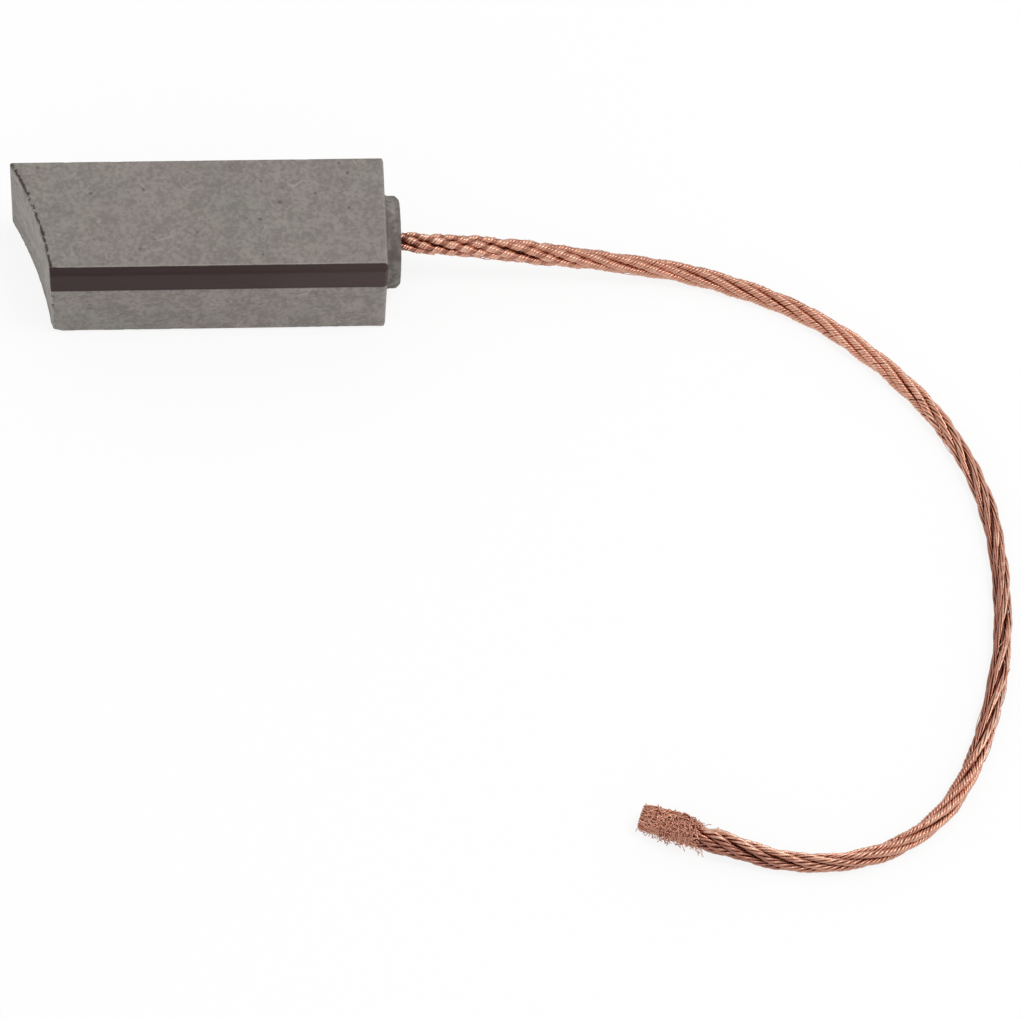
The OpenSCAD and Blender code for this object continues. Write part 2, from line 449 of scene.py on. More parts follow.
hair_lines = np.concatenate([
    hairs(77.9, 80.8, count=110, length=0.6, lift=0.42, free=True, random=random),
    hairs(80.6, 81.9, count=26, length=0.5, lift=0.25, free=True, random=random),
    hairs(3.5, 14, count=9, length=3.2, lift=0.1, free=False, random=random),
    hairs(20, 74, count=14, length=3.5, lift=0.09, free=False, random=random)])
hair_rings = sweep(hair_lines, np.full(hair_lines.shape[:2], hair_radius), wire_sides)
loose = new_piece("loose_hairs", wire_mesh("loose_hairs", hair_rings))
mark(loose.data, "patina_and_shade", np.full(len(loose.data.vertices), 0.2))
mark(loose.data, "tint", np.repeat(random.uniform(0, 1, len(hair_lines)),
                                   hair_steps * wire_sides))
print("hairs:", len(hair_lines))

# %% [markdown]
# ## The worn block
#
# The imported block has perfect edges. The real one is brittle: crumbs have broken out along the
# rim of the contact face, and every edge is a little rubbed. We copy the block, give it small
# even faces with a voxel remesh, and then move its points, so that the chips are real shape and
# not just paint. A point lies on one of the block's sides, and its distance to the next nearest
# side tells how near an edge it is.
#
# The remesh runs on a copy a thousand times larger, because it isn't made for such small sizes.

# %% Remesh the block
voxel = 0.1


def fine_copy(node, name, size):
    """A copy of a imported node, in millimetres, with even faces about size across."""
    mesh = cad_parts[node].data.copy()
    mesh.transform(Matrix.Scale(1 / MM, 4))
    work = bmesh.new()
    work.from_mesh(mesh)
    bmesh.ops.remove_doubles(work, verts=work.verts, dist=0.0005)
    work.to_mesh(mesh)
    work.free()
    coarse = bpy.data.objects.new(name + "_coarse", mesh)
    bpy.context.scene.collection.objects.link(coarse)
    remesh = coarse.modifiers.new("remesh", "REMESH")
    remesh.mode = "VOXEL"
    remesh.voxel_size = size
    evaluated = coarse.evaluated_get(bpy.context.evaluated_depsgraph_get())
    fine = bpy.data.meshes.new_from_object(evaluated)
    fine.name = name
    bpy.data.objects.remove(coarse)
    return fine


def points_of(mesh):
    """The mesh's points as a table of x, y, z."""
    flat = np.empty(len(mesh.vertices) * 3)
    mesh.vertices.foreach_get("co", flat)
    return flat.reshape(-1, 3)


block_mesh = fine_copy("carbon_block", "worn_block", voxel)
p = points_of(block_mesh)
print("block:", len(p), "points")

# %% Find the edges
contact_radius = 25
wear_skew = 2.4
strip_depth = 0.47
tip_x, rear_x = block_low.x / MM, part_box("insulating_strip")[1].x / MM
half_w, height = block_high.y / MM, block_high.z / MM
chord = math.hypot(wear_skew, 2 * half_w)
reach = math.sqrt(contact_radius ** 2 - (chord / 2) ** 2)
shaft_x = tip_x + wear_skew / 2 - reach * 2 * half_w / chord
shaft_y = -reach * wear_skew / chord

to_face = np.hypot(p[:, 0] - shaft_x, p[:, 1] - shaft_y) - contact_radius
to_side = {"top": height - p[:, 2], "bottom": p[:, 2], "front": half_w + p[:, 1],
           "back": half_w - p[:, 1], "rear": np.abs(rear_x - p[:, 0]), "face": to_face}
from_sides = np.array(list(to_side.values()))
edge_distance = np.sort(np.abs(from_sides), axis=0)[1]
rebate_edge = np.hypot(to_side["top"], to_side["front"] - strip_depth)
edge_distance = np.minimum(edge_distance, rebate_edge)
on_boss = p[:, 0] > rear_x + 0.03
far_from_edges = 1
edge_distance[on_boss] = far_from_edges
face_tolerance, face_margin = 0.06, 0.08
contact = (to_face < face_tolerance) & (edge_distance > face_margin)
print("points on the contact face:", int(contact.sum()))

# %% [markdown]
# Chips come from smooth noise: where it is high and an edge is near, the surface is pushed in. Each
# rim has its own share of breakage. The top rim of the contact face is the most broken, in small
# crumbs and a few larger ones, and there are somewhat more towards the front. The lower front
# corner is simply blunt.

# %% Chip and rub the edges
def roughness_at(points, size, seed):
    """Smooth noise from about -1 to 1, with lumps of the given size in millimetres."""
    shift = Vector((seed * 17.3, seed * 5.1, seed * 9.7))
    return np.array([noise.noise(Vector(q) / size + shift) for q in points]) * 1.6


def chips(rim, reach, depth, size, seed, share):
    """How far points near a rim are broken away, and how dark the breaks are painted, partly as
    shade.
    """
    near = np.where(rim < reach)[0]
    lumps = roughness_at(p[near], size, seed) + 0.6 * roughness_at(p[near], size / 3, seed + 1)
    lumps = lumps - 0.25 * p[near, 1] / half_w
    broken = np.clip((lumps - 1 + 2 * share) * 1.5, 0, 1)
    fade = np.clip(1 - rim[near] / reach, 0, 1) ** 0.7
    found = np.zeros(len(p))
    found[near] = broken * fade
    return found * depth, found


rims = {name: np.hypot(np.maximum(to_face, 0), np.maximum(to_side[name], 0))
        for name in ("top", "bottom", "front", "back")}
drop = np.zeros(len(p))
broken_and_shaded = np.zeros(len(p))
# Each line gives a rim, the chips' reach, depth and size, the noise's seed and how much is broken
for name, spread, deep, lump, seed, share in (
        ("top", 0.22, 0.14, 0.3, 1, 0.86), ("top", 0.42, 0.24, 0.6, 13, 0.42),
        ("bottom", 0.2, 0.06, 0.6, 3, 0.4), ("front", 0.2, 0.06, 0.5, 5, 0.1),
        ("back", 0.2, 0.04, 0.6, 7, 0.3)):
    depth_here, broken_and_shaded_here = chips(rims[name], spread, deep, lump, seed, share)
    drop = np.maximum(drop, depth_here)
    broken_and_shaded = np.maximum(broken_and_shaded, broken_and_shaded_here)
rub_depth, _ = chips(edge_distance, 0.25, 0.025, 1.1, 9, 0.45)
drop = np.maximum(drop, rub_depth)
corner_depth, corner_reach = 0.16, 0.6
corner = np.hypot(np.hypot(to_face, to_side["front"]), to_side["bottom"])
drop = np.maximum(drop, corner_depth * np.clip(1 - corner / corner_reach, 0, 1))
print("deepest chip:", round(drop.max(), 3), "mm")

# %% [markdown]
# The points now move in by their depth. The material has to know where each finish and each
# painted highlight or shade belongs, so the marks say where the block is chipped, near an edge, on
# the contact face, on the boss, at the boss's rim, at its shaded foot and front side, or low down.

# %% Move the points and keep the marks
flat = np.empty(len(p) * 3, np.float32)
block_mesh.vertices.foreach_get("normal", flat)
normals = flat.reshape(-1, 3).astype(float)
worn = (p - normals * drop[:, None]) * MM
worn[:, 2] = np.maximum(worn[:, 2], 0)
block_mesh.vertices.foreach_set("co", worn.ravel())
block_mesh.update()
block = new_piece("worn_block", block_mesh)
# Chips are painted dark: the break is rough, and shade in it is painted in too.
mark(block_mesh, "chip_dark_and_shade", broken_and_shaded)
# Edges are rubbed lighter and painted with a thin highlight.
mark(block_mesh, "edge", np.clip(1 - edge_distance / 0.22, 0, 1))
mark(block_mesh, "contact", contact)
mark(block_mesh, "boss", on_boss)
# The boss's rim, its foot and its front side are painted darker, as shade.
mark(block_mesh, "rim", np.clip(1 - (block_high.x / MM - p[:, 0]) / 0.5, 0, 1))
mark(block_mesh, "foot", on_boss * np.maximum(
    np.clip(1 - (p[:, 0] - rear_x) / 0.25, 0, 1), 0.6 * np.clip(-(p[:, 1] + 1) / 1.2, 0, 1)))
mark(block_mesh, "low", np.clip(1 - p[:, 2] / 2.4, 0, 1))
print("block:", len(block_mesh.polygons) * 2, "triangles")

# %% [markdown]
# ## The rammed powder
#
# The rope is held by copper powder that was rammed round it, so the ring of powder in the boss
# is crumbly. The same remesh gives it faces small enough to be roughened.

# %% Roughen the powder
powder_voxel = 0.07
plug_mesh = fine_copy("tamping_plug", "rammed_powder", powder_voxel)
q = points_of(plug_mesh)
flat = np.empty(len(q) * 3, np.float32)
plug_mesh.vertices.foreach_get("normal", flat)
shown = np.clip((q[:, 0] - q[:, 0].max() + 0.3) / 0.2, 0, 1)
lump_depth, sink = 0.03, 0.02
lump = roughness_at(q, 0.22, 11) * lump_depth + roughness_at(q, 0.5, 12) * lump_depth
q = q - flat.reshape(-1, 3) * (shown * (lump + sink))[:, None]
plug_mesh.vertices.foreach_set("co", (q * MM).ravel())
plug_mesh.update()
plug = new_piece("rammed_powder", plug_mesh)
print("powder:", len(plug_mesh.polygons) * 2, "triangles")

# %% [markdown]
# ## Helpers for materials
#
# A material is a graph of nodes. A few small helpers keep the cells below readable. They add a
# node, mix two colours, do one sum, turn a range of values into a mask, read a mark, and give a
# colour. An input that is given as a socket is linked, and anything else is set as a value.

# %% Node helpers
def add(tree, kind, inputs=(), **settings):
    """A new node with these settings and inputs."""
    node = tree.nodes.new(kind)
    for name, value in settings.items():
        setattr(node, name, value)
    for name, value in dict(inputs).items():
        if isinstance(value, bpy.types.NodeSocket):
            tree.links.new(value, node.inputs[name])
        else:
            node.inputs[name].default_value = value
    return node


def mixed(tree, amount, first, second, how="MIX"):
    """Two colours mixed by an amount."""
    names = {0: amount, 6: first, 7: second}
    return add(tree, "ShaderNodeMix", names, data_type="RGBA", blend_type=how).outputs[2]


def calc(tree, how, first, second=0.0):
    """One sum on two values."""
    return add(tree, "ShaderNodeMath", {0: first, 1: second}, operation=how).outputs[0]


def between(tree, value, low, high, to_low=0.0, to_high=1.0):
    """A value taken from one range to another, smoothly, and held there."""
    names = {"Value": value, "From Min": low, "From Max": high,
             "To Min": to_low, "To Max": to_high}
    return add(tree, "ShaderNodeMapRange", names, interpolation_type="SMOOTHSTEP").outputs[0]


def kept_mark(tree, name):
    """The numbers that were kept on the mesh's points."""
    return add(tree, "ShaderNodeAttribute", attribute_name=name).outputs["Fac"]


def colour(red, green, blue):
    """A colour given as it looks on a screen, 0 to 255, as Blender's linear values."""
    linear = [c / 12.92 if c <= 0.04045 else ((c + 0.055) / 1.055) ** 2.4
              for c in (red / 255, green / 255, blue / 255)]
    return (*linear, 1.0)


print("middle grey in linear values:", [round(c, 3) for c in colour(128, 128, 128)])

# %% [markdown]
# An effect that several materials need is built once, as a node group. Two more helpers make such
# a group and place it in a material.

# %% Group helpers
FLOAT, VECTOR, COLOUR = "NodeSocketFloat", "NodeSocketVector", "NodeSocketColor"


def new_group(name, inputs, outputs):
    """A node group with these inputs, as name: (kind, value), and these outputs."""
    tree = bpy.data.node_groups.new(name, "ShaderNodeTree")
    for title, (kind, value) in inputs.items():
        socket = tree.interface.new_socket(title, in_out="INPUT", socket_type=kind)
        if value is not None:
            socket.default_value = value
    for title, kind in outputs.items():
        tree.interface.new_socket(title, in_out="OUTPUT", socket_type=kind)
    return tree, tree.nodes.new("NodeGroupInput").outputs, tree.nodes.new("NodeGroupOutput").inputs


def use(tree, group, **inputs):
    """The group placed in a material. A word of a socket's name is joined to the next by _."""
    node = tree.nodes.new("ShaderNodeGroup")
    node.node_tree = group
    for name, value in inputs.items():
        socket = node.inputs[name.replace("_", " ")]
        if isinstance(value, bpy.types.NodeSocket):
            tree.links.new(value, socket)
        else:
            socket.default_value = value
    return node.outputs


print("a group's sockets can be", FLOAT, VECTOR, "or", COLOUR)

# %% [markdown]
# ## Effects that several finishes share
#
# Pressed powder, bonded fibre, rammed powder and copper all show patches of slightly different
# colour, fine grain, specks and streaks. Each effect is one node group, built once and given its
# own values in each material. They all work in millimetres on the part's own coordinates, so
# the grain has the same size on every side and never slides when the view moves. Blender's
# textures count features per metre, so a size in millimetres is first turned into such a scale.

# %% A helper for texture sizes
MM_IN_METRE = 1000.0


def scale_for(tree, size, times=1.0):
    """The texture scale for features of a size in millimetres, or so many times that size."""
    return calc(tree, "DIVIDE", MM_IN_METRE / times, size)


print("a size of 1 mm is a scale of", MM_IN_METRE)

# %% Group: patches of two colours
patches, given, result = new_group(
    "patches",
    {"Size": (FLOAT, 2.0), "Sharpness": (FLOAT, 0.5), "Seed": (FLOAT, 0.0),
     "First": (COLOUR, (0.5, 0.5, 0.5, 1)), "Second": (COLOUR, (0.4, 0.4, 0.4, 1))},
    {"Colour": COLOUR, "Mask": FLOAT})
spot_on_part = add(patches, "ShaderNodeTexCoord").outputs["Object"]
scale = scale_for(patches, given["Size"])
clouds = add(patches, "ShaderNodeTexNoise",
             {"Vector": spot_on_part, "W": given["Seed"], "Scale": scale, "Detail": 4.0,
              "Roughness": 0.55}, noise_dimensions="4D").outputs[0]
half_band = 0.2
low = calc(patches, "SUBTRACT", 0.5, calc(patches, "MULTIPLY", half_band, given["Sharpness"]))
high = calc(patches, "ADD", 0.5, calc(patches, "MULTIPLY", half_band, given["Sharpness"]))
mask = between(patches, clouds, low, high)
patches.links.new(mixed(patches, mask, given["First"], given["Second"]), result["Colour"])
patches.links.new(mask, result["Mask"])
print("group:", patches.name)

# %% Group: grain of pressed powder
grain, given, result = new_group(
    "grain", {"Size": (FLOAT, 0.1), "Seed": (FLOAT, 0.0)}, {"Fine": FLOAT, "Coarse": FLOAT})
spot_on_part = add(grain, "ShaderNodeTexCoord").outputs["Object"]
for title, times in (("Fine", 1.0), ("Coarse", 4.5)):
    scale = scale_for(grain, given["Size"], times)
    dust = add(grain, "ShaderNodeTexNoise",
               {"Vector": spot_on_part, "W": given["Seed"], "Scale": scale, "Detail": 2.0,
                "Roughness": 0.6}, noise_dimensions="4D").outputs[0]
    grain.links.new(between(grain, dust, 0.25, 0.75), result[title])
print("group:", grain.name)

# %% Group: specks such as pits and flakes
specks, given, result = new_group(
    "specks", {"Spacing": (FLOAT, 1.0), "Radius": (FLOAT, 0.1), "Share": (FLOAT, 0.4)},
    {"Mask": FLOAT})
spot_on_part = add(specks, "ShaderNodeTexCoord").outputs["Object"]
scale = scale_for(specks, given["Spacing"])
ragged_size, ragged_shift = 0.2, 0.16 * MM
blur = add(specks, "ShaderNodeTexNoise",
           {"Vector": spot_on_part, "Scale": MM_IN_METRE / ragged_size,
            "Detail": 2.0}).outputs["Color"]
shifted = add(specks, "ShaderNodeVectorMath", {0: blur, "Scale": ragged_shift},
              operation="SCALE")
moved = add(specks, "ShaderNodeVectorMath", {0: spot_on_part, 1: shifted.outputs[0]},
            operation="ADD").outputs[0]
cells = add(specks, "ShaderNodeTexVoronoi", {"Vector": moved, "Scale": scale})
from_middle = calc(specks, "MULTIPLY", cells.outputs["Distance"], given["Spacing"])
lot = add(specks, "ShaderNodeSeparateColor", {0: cells.outputs["Color"]}).outputs
radius = calc(specks, "MULTIPLY", given["Radius"], between(specks, lot[1], 0.0, 1.0, 0.5, 1.2))
spot = between(specks, calc(specks, "DIVIDE", from_middle, radius), 0.3, 1.1, 1.0, 0.0)
chosen = calc(specks, "LESS_THAN", lot[0], given["Share"])
specks.links.new(calc(specks, "MULTIPLY", spot, chosen), result["Mask"])
print("group:", specks.name)

# %% Group: streaks along one direction
streaks, given, result = new_group(
    "streaks", {"Stretch": (VECTOR, (1.0, 10.0, 10.0)), "Size": (FLOAT, 1.0),
                "Seed": (FLOAT, 0.0)}, {"Value": FLOAT})
spot_on_part = add(streaks, "ShaderNodeTexCoord").outputs["Object"]
drawn_out = add(streaks, "ShaderNodeVectorMath", {0: spot_on_part, 1: given["Stretch"]},
                operation="MULTIPLY").outputs[0]
scale = scale_for(streaks, given["Size"])
lines = add(streaks, "ShaderNodeTexNoise",
            {"Vector": drawn_out, "W": given["Seed"], "Scale": scale, "Detail": 3.0},
            noise_dimensions="4D").outputs[0]
streaks.links.new(lines, result["Value"])
print("group:", streaks.name)

# %% Group: arcs such as light scuffs
arcs, given, result = new_group(
    "arcs", {"Size": (FLOAT, 2.0), "Width": (FLOAT, 0.01), "Seed": (FLOAT, 0.0)}, {"Mask": FLOAT})
spot_on_part = add(arcs, "ShaderNodeTexCoord").outputs["Object"]
scale = scale_for(arcs, given["Size"])
hills = add(arcs, "ShaderNodeTexNoise",
            {"Vector": spot_on_part, "W": given["Seed"], "Scale": scale, "Detail": 1.0},
            noise_dimensions="4D").outputs[0]
where = add(arcs, "ShaderNodeTexNoise",
            {"Vector": spot_on_part, "Scale": calc(arcs, "MULTIPLY", scale, 1.4), "Detail": 2.0})
level = calc(arcs, "ABSOLUTE", calc(arcs, "SUBTRACT", hills, 0.5))
line = between(arcs, level, 0.0, given["Width"], 1.0, 0.0)
arcs.links.new(calc(arcs, "MULTIPLY", line, between(arcs, where.outputs[0], 0.5, 0.62)),
               result["Mask"])
print("group:", arcs.name)

# %% [markdown]
# ## Pressed metal graphite
#
# Copper powder and graphite pressed together look warm grey, with faint greenish and pinkish
# clouds where one or the other is richer. Up close there is fine grain, a few dark pits where a
# crumb has come out, and pale rubbed scratches. The contact face has been polished into streaks
# by the commutator, and is painted paler for light that it gets less of from the lamp. Edges are
# rubbed and painted with a thin highlight. Broken rims are dark: the break is rough, and shade in
# it is painted in too.

# %% Material: metal graphite
def new_material(name):
    """An empty material: (material, its nodes, its principled shader)."""
    material = bpy.data.materials.new(name)
    material.use_nodes = True
    tree = material.node_tree
    return material, tree, tree.nodes["Principled BSDF"]


graphite, tree, shader = new_material("metal_graphite")
print("material:", graphite.name)

# %% Choose the graphite's effects
clouds = use(tree, patches, Size=5.0, Sharpness=1.5, Seed=2.0,
             First=colour(137, 135, 127), Second=colour(147, 134, 131))
blotches = use(tree, patches, Size=1.0, Sharpness=1.3, Seed=5.0,
               First=(0.43, 0.43, 0.43, 1), Second=(0.57, 0.57, 0.57, 1))
broad = use(tree, patches, Size=9.0, Sharpness=1.2, Seed=21.0,
            First=(0.44, 0.44, 0.44, 1), Second=(0.56, 0.56, 0.56, 1))
dust = use(tree, grain, Size=0.24, Seed=1.0)
pits = use(tree, specks, Spacing=1.0, Radius=0.15, Share=0.6)
crumbs = use(tree, specks, Spacing=0.5, Radius=0.1, Share=0.6)
gritty = use(tree, specks, Spacing=0.4, Radius=0.14, Share=0.6)
scratches = use(tree, streaks, Stretch=(0.5, 8.0, 8.0), Size=1.6, Seed=3.0)
tracks = use(tree, streaks, Stretch=(0.8, 0.8, 6.0), Size=1.0, Seed=4.0)
scuffs = use(tree, arcs, Size=2.2, Width=0.012, Seed=3.0)
print("effects in use:", sum(node.type == "GROUP" for node in tree.nodes))

# %% [markdown]
# The colour is built up like paint, one layer over the last. First come the clouds, the grain and
# the scratches, which lie everywhere.

# %% Paint the clouds, grain and scratches
tone = mixed(tree, 0.35, clouds["Colour"], blotches["Colour"], "OVERLAY")
tone = mixed(tree, 0.5, tone, broad["Colour"], "OVERLAY")
grains = calc(tree, "ADD", calc(tree, "MULTIPLY", dust["Fine"], 0.65),
              calc(tree, "MULTIPLY", dust["Coarse"], 0.35))
tone = mixed(tree, between(tree, grains, 0.2, 0.8, 0.0, 0.58), tone, colour(108, 102, 97))
tone = mixed(tree, between(tree, scratches["Value"], 0.6, 0.75, 0.0, 0.15), tone,
             colour(165, 160, 153))
tone = mixed(tree, calc(tree, "MULTIPLY", scuffs["Mask"], 0.35), tone, colour(172, 168, 162))
print("nodes so far:", len(tree.nodes))

# %% [markdown]
# The contact face gets its own layers, which the contact mark keeps on that face: a paler polish,
# which also paints in light that this side gets less of from the lamp, dark tracks, grit, and a
# darker margin low down.

# %% Paint the contact face
# A paler polish, which also paints in the light that this side gets less of.
polish_and_light = calc(tree, "MULTIPLY", kept_mark(tree, "contact"), 0.6)
tone = mixed(tree, polish_and_light, tone, colour(162, 156, 149))
track_mask = calc(tree, "MULTIPLY", kept_mark(tree, "contact"),
                  between(tree, tracks["Value"], 0.42, 0.62))
tone = mixed(tree, calc(tree, "MULTIPLY", track_mask, 0.5), tone, colour(104, 96, 86))
grit_mask = calc(tree, "MULTIPLY", kept_mark(tree, "contact"), gritty["Mask"])
tone = mixed(tree, calc(tree, "MULTIPLY", grit_mask, 0.6), tone, colour(76, 68, 62))
margin = calc(tree, "MULTIPLY", kept_mark(tree, "contact"), kept_mark(tree, "low"))
tone = mixed(tree, calc(tree, "MULTIPLY", margin, 0.45), tone, colour(104, 97, 90))
print("nodes so far:", len(tree.nodes))

# %% [markdown]
# Last come the edges, rubbed and painted with a highlight, the boss with painted shade on its rim,
# at its foot and on its front side, the pits, and the broken chips, dark partly as painted shade.

# %% Paint the edges, boss, pits and chips
# Rubbed edges with a painted highlight.
edge_mask = calc(tree, "MULTIPLY", between(tree, kept_mark(tree, "edge"), 0.35, 1.0),
                 between(tree, dust["Coarse"], 0.2, 0.7, 0.4, 0.85))
tone = mixed(tree, edge_mask, tone, colour(166, 161, 155))
boss_mask = calc(tree, "MULTIPLY", kept_mark(tree, "boss"),
                 between(tree, dust["Coarse"], 0.35, 0.7, 0.0, 0.6))
tone = mixed(tree, boss_mask, tone, colour(86, 82, 78))
# Painted shade on the boss's rim, at its foot and on its front side.
shaded = calc(tree, "MAXIMUM", between(tree, kept_mark(tree, "rim"), 0.1, 0.6, 0.0, 0.45),
              between(tree, kept_mark(tree, "foot"), 0.3, 1.0, 0.0, 0.75))
tone = mixed(tree, shaded, tone, colour(66, 59, 54))
tone = mixed(tree, calc(tree, "MULTIPLY", pits["Mask"], 0.75), tone, colour(84, 75, 69))
tone = mixed(tree, calc(tree, "MULTIPLY", crumbs["Mask"], 0.4), tone, colour(92, 85, 79))
# Dark chips, partly painted shade.
chip_dark_and_shade_mask = between(tree, calc(tree, "MULTIPLY", kept_mark(tree, "chip_dark_and_shade"),
                               between(tree, dust["Fine"], 0.1, 0.6, 0.5, 1.0)), 0.1, 0.4)
tone = mixed(tree, calc(tree, "MULTIPLY", chip_dark_and_shade_mask, 0.9), tone, colour(64, 55, 49))
tree.links.new(tone, shader.inputs["Base Color"])
print("nodes so far:", len(tree.nodes))

# %% Give the graphite its relief and sheen
tree.links.new(between(tree, grains, 0.2, 0.8, 0.5, 0.68), shader.inputs["Roughness"])
relief = calc(tree, "SUBTRACT", calc(tree, "MULTIPLY", grains, 0.5),
              calc(tree, "ADD", pits["Mask"], crumbs["Mask"]))
bump = add(tree, "ShaderNodeBump", {"Height": relief, "Strength": 0.4, "Distance": 0.03 * MM})
tree.links.new(bump.outputs[0], shader.inputs["Normal"])
shader.inputs["Specular IOR Level"].default_value = 0.35
block_mesh.materials.clear()
block_mesh.materials.append(graphite)
print("material:", graphite.name, len(tree.nodes), "nodes")

# %% [markdown]
# ## The dark strip
#
# The strip is dark brown, dense and even, with only faint streaks along its length. It is paler
# towards the boss and darker along its lower edge. Its top is painted darker, as shade, so that its
# lit upper side matches its front. Its shape in the imported model is right, so it keeps that mesh
# and only gets this finish.

# %% Material: dark strip
strip_paint, tree, shader = new_material("dark_strip")
shades = use(tree, patches, Size=4.0, Sharpness=1.5, Seed=8.0,
             First=colour(55, 40, 40), Second=colour(62, 45, 45))
fibres = use(tree, streaks, Stretch=(0.35, 6.0, 6.0), Size=0.8, Seed=6.0)
dust = use(tree, grain, Size=0.12, Seed=3.0)
tone = mixed(tree, between(tree, fibres["Value"], 0.35, 0.7, 0.0, 0.25), shades["Colour"],
             colour(80, 63, 61))
tone = mixed(tree, calc(tree, "MULTIPLY", dust["Fine"], 0.18), tone, colour(40, 29, 29))
spot_on_part = add(tree, "ShaderNodeTexCoord").outputs["Object"]
where_on_it = add(tree, "ShaderNodeSeparateXYZ", {0: spot_on_part}).outputs
above = where_on_it["Z"]
strip_low, strip_high = 4.5, 6.3
# Paler towards the boss.
paler_to_rear = between(tree, where_on_it["X"], 0.0, 10 * MM, 0.0, 0.4)
tone = mixed(tree, paler_to_rear, tone, colour(82, 67, 65))
# Darker along the lower edge, and painted shade along the top, which evens out the light there.
dark_lower_edge = between(tree, above, strip_low * MM, (strip_low + 0.16) * MM, 0.55, 0.0)
painted_top_shade = between(tree, above, (strip_high - 0.5) * MM, (strip_high - 0.05) * MM, 0.0, 0.3)
tone = mixed(tree, calc(tree, "MAXIMUM", dark_lower_edge, painted_top_shade), tone, colour(38, 27, 27))
tree.links.new(tone, shader.inputs["Base Color"])
tree.links.new(between(tree, fibres["Value"], 0.3, 0.7, 0.48, 0.62), shader.inputs["Roughness"])
height = calc(tree, "ADD", fibres["Value"], calc(tree, "MULTIPLY", dust["Fine"], 0.4))
bump = add(tree, "ShaderNodeBump", {"Height": height, "Strength": 0.3, "Distance": 0.03 * MM})
tree.links.new(bump.outputs[0], shader.inputs["Normal"])
shader.inputs["Specular IOR Level"].default_value = 0.15
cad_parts["insulating_strip"].material_slots[0].material = strip_paint
print("material:", strip_paint.name)

# %% [markdown]
# ## Rammed powder
#
# Coarser than the block, redder with copper, and quite matt.

# %% Material: rammed powder
powder, tree, shader = new_material("rammed_powder")
shades = use(tree, patches, Size=0.5, Sharpness=0.8, Seed=9.0,
             First=colour(96, 74, 62), Second=colour(128, 94, 76))
dust = use(tree, grain, Size=0.09, Seed=7.0)
flakes = use(tree, specks, Spacing=0.3, Radius=0.05, Share=0.3)
tone = mixed(tree, calc(tree, "MULTIPLY", dust["Fine"], 0.6), shades["Colour"],
             colour(58, 44, 38))
tone = mixed(tree, calc(tree, "MULTIPLY", flakes["Mask"], 0.7), tone, colour(190, 134, 106))
tree.links.new(tone, shader.inputs["Base Color"])
tree.links.new(between(tree, flakes["Mask"], 0.0, 1.0, 0.8, 0.4), shader.inputs["Roughness"])
bump = add(tree, "ShaderNodeBump", {"Height": dust["Fine"], "Strength": 0.6,
                                    "Distance": 0.05 * MM})
tree.links.new(bump.outputs[0], shader.inputs["Normal"])
plug_mesh.materials.clear()
plug_mesh.materials.append(powder)
print("material:", powder.name)

# %% [markdown]
# ## Bare copper
#
# Bare copper has no colour of its own apart from what it mirrors, tinted salmon. Its metallic
# value is 1, and the lamp gives the glints. Handling and warmth have browned it a little, most of
# all down in the grooves where it is never rubbed. Its colour also holds painted shade on one side
# of the rope, on the deeper strands, the core and the inside of the tuft, and a painted highlight
# on the other side. The tint mark makes each wire differ.

# %% Material: bare copper
copper, tree, shader = new_material("bare_copper")
age = use(tree, patches, Size=3.0, Sharpness=1.2, Seed=12.0,
          First=(0.85, 0.47, 0.345, 1), Second=(0.72, 0.385, 0.27, 1))
spots = use(tree, patches, Size=0.4, Sharpness=0.8, Seed=13.0,
            First=(0.44, 0.44, 0.44, 1), Second=(0.56, 0.56, 0.56, 1))
tone = mixed(tree, 0.5, age["Colour"], spots["Colour"], "OVERLAY")
tone = mixed(tree, calc(tree, "MULTIPLY", kept_mark(tree, "tint"), 0.4), tone,
             (0.58, 0.27, 0.19, 1))
# Rubbed crests are bare copper, and the side opposite the shade is painted lighter, as a highlight.
bare_and_highlight = calc(tree, "MULTIPLY", kept_mark(tree, "rubbed_and_highlight"), between(tree, spots["Mask"], 0.2, 0.8))
tone = mixed(tree, calc(tree, "MULTIPLY", bare_and_highlight, 0.7), tone, (0.98, 0.68, 0.53, 1))
# Browned by age, and painted shade on one side of the rope.
tone = mixed(tree, calc(tree, "MULTIPLY", kept_mark(tree, "browned_and_shaded"), 0.85), tone,
             (0.26, 0.09, 0.065, 1))
# Patina in the grooves, and painted shade on the deeper strands, the core and inside the tuft.
tone = mixed(tree, calc(tree, "MULTIPLY", kept_mark(tree, "patina_and_shade"), 0.8), tone,
             (0.24, 0.065, 0.04, 1))
tree.links.new(tone, shader.inputs["Base Color"])
tree.links.new(between(tree, spots["Mask"], 0.0, 1.0, 0.22, 0.38), shader.inputs["Roughness"])
shader.inputs["Metallic"].default_value = 1.0
for piece in (rope, core, tuft, loose):
    piece.data.materials.append(copper)
print("material:", copper.name)

# %% [markdown]
# ## Join the pieces to the frame
#
# Every new piece rides on the part's one body and hides the plain solid that it stands for.

# %% Join the pieces to the frame
for piece, slot_name in ((block, "metal_graphite"), (plug, "rammed_powder"),
                         (rope, "bare_copper"), (core, "bare_copper"), (tuft, "bare_copper"),
                         (loose, "bare_copper")):
    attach(piece, "root")
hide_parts("carbon_block")
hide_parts("tamping_plug")
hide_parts("shunt_wire")

# %% [markdown]
# ## Table and light
#
# The brush lies on a white table under even studio light. The floor is almost white and is shown
# to the camera mostly as plain white, so that only a soft, faint shadow is left on it. Mirroring
# copper sees it the same way. The world gives level light from all round, and one lamp high up on
# the right models the sides: the top is brightest, the front a little darker, and the copper gets
# its glints.

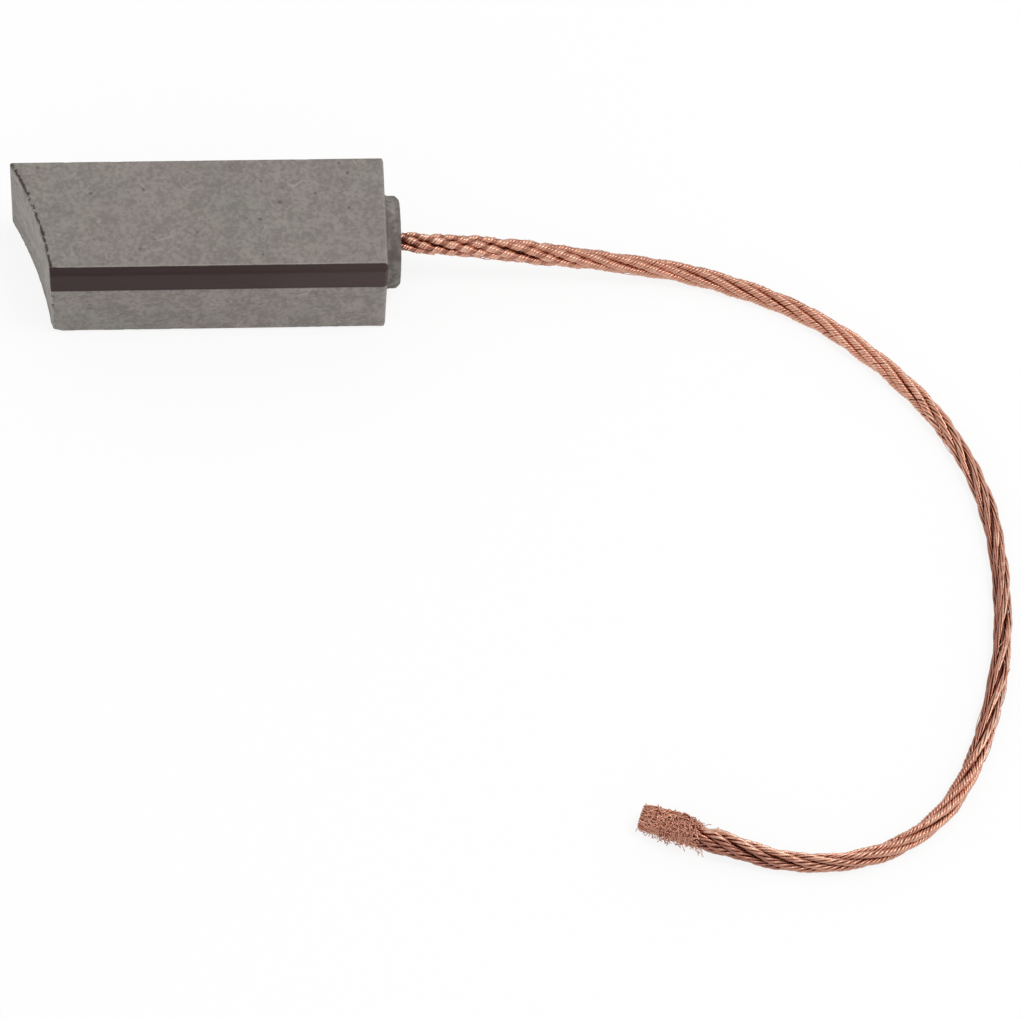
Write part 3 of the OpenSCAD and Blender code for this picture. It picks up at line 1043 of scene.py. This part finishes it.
# %% Lay the floor
floor_reach = 4.0
floor_mesh = bpy.data.meshes.new("floor")
floor_mesh.from_pydata([(x * floor_reach, y * floor_reach, 0)
                        for x, y in ((-1, -1), (1, -1), (1, 1), (-1, 1))], [], [(0, 1, 2, 3)])
floor = new_piece("floor", floor_mesh)

paper, tree, shader = new_material("white_table")
shader.inputs["Base Color"].default_value = (0.96, 0.96, 0.96, 1)
shader.inputs["Roughness"].default_value = 1.0
shader.inputs["Specular IOR Level"].default_value = 0.0
plain_white = add(tree, "ShaderNodeEmission", {"Color": (1, 1, 1, 1), "Strength": 1.0})
seen = add(tree, "ShaderNodeLightPath").outputs
plain_share = 0.85
direct = calc(tree, "MAXIMUM", calc(tree, "MAXIMUM", seen["Is Camera Ray"],
                                    seen["Is Glossy Ray"]), seen["Is Transmission Ray"])
blend = add(tree, "ShaderNodeMixShader", {0: calc(tree, "MULTIPLY", direct, plain_share),
                                          1: shader.outputs[0], 2: plain_white.outputs[0]})
tree.links.new(blend.outputs[0], tree.nodes["Material Output"].inputs["Surface"])
floor_mesh.materials.append(paper)
print("floor:", 2 * floor_reach, "m square")

# %% Set the light
world = bpy.data.worlds.new("studio")
world.use_nodes = True
world.node_tree.nodes["Background"].inputs["Color"].default_value = (0.78, 0.78, 0.78, 1)
bpy.context.scene.world = world

lamp_size = 0.14
lamp_distance = 0.4
lamp_brightness = 6.7
lamp_direction = Vector((0.37, -0.04, 0.92)).normalized()
lamp_data = bpy.data.lights.new("large_lamp", "AREA")
lamp_data.shape = "SQUARE"
lamp_data.size = lamp_size
lamp_data.energy = lamp_brightness * math.pi * lamp_size ** 2
lamp = bpy.data.objects.new("large_lamp", lamp_data)
lamp.matrix_world = (Matrix.Translation(aim + lamp_distance * lamp_direction)
                     @ (-lamp_direction).to_track_quat("-Z", "Y").to_matrix().to_4x4())
bpy.context.scene.collection.objects.link(lamp)
bpy.context.scene.view_settings.view_transform = "Standard"
print("lamp power:", round(lamp_data.energy, 3), "W")
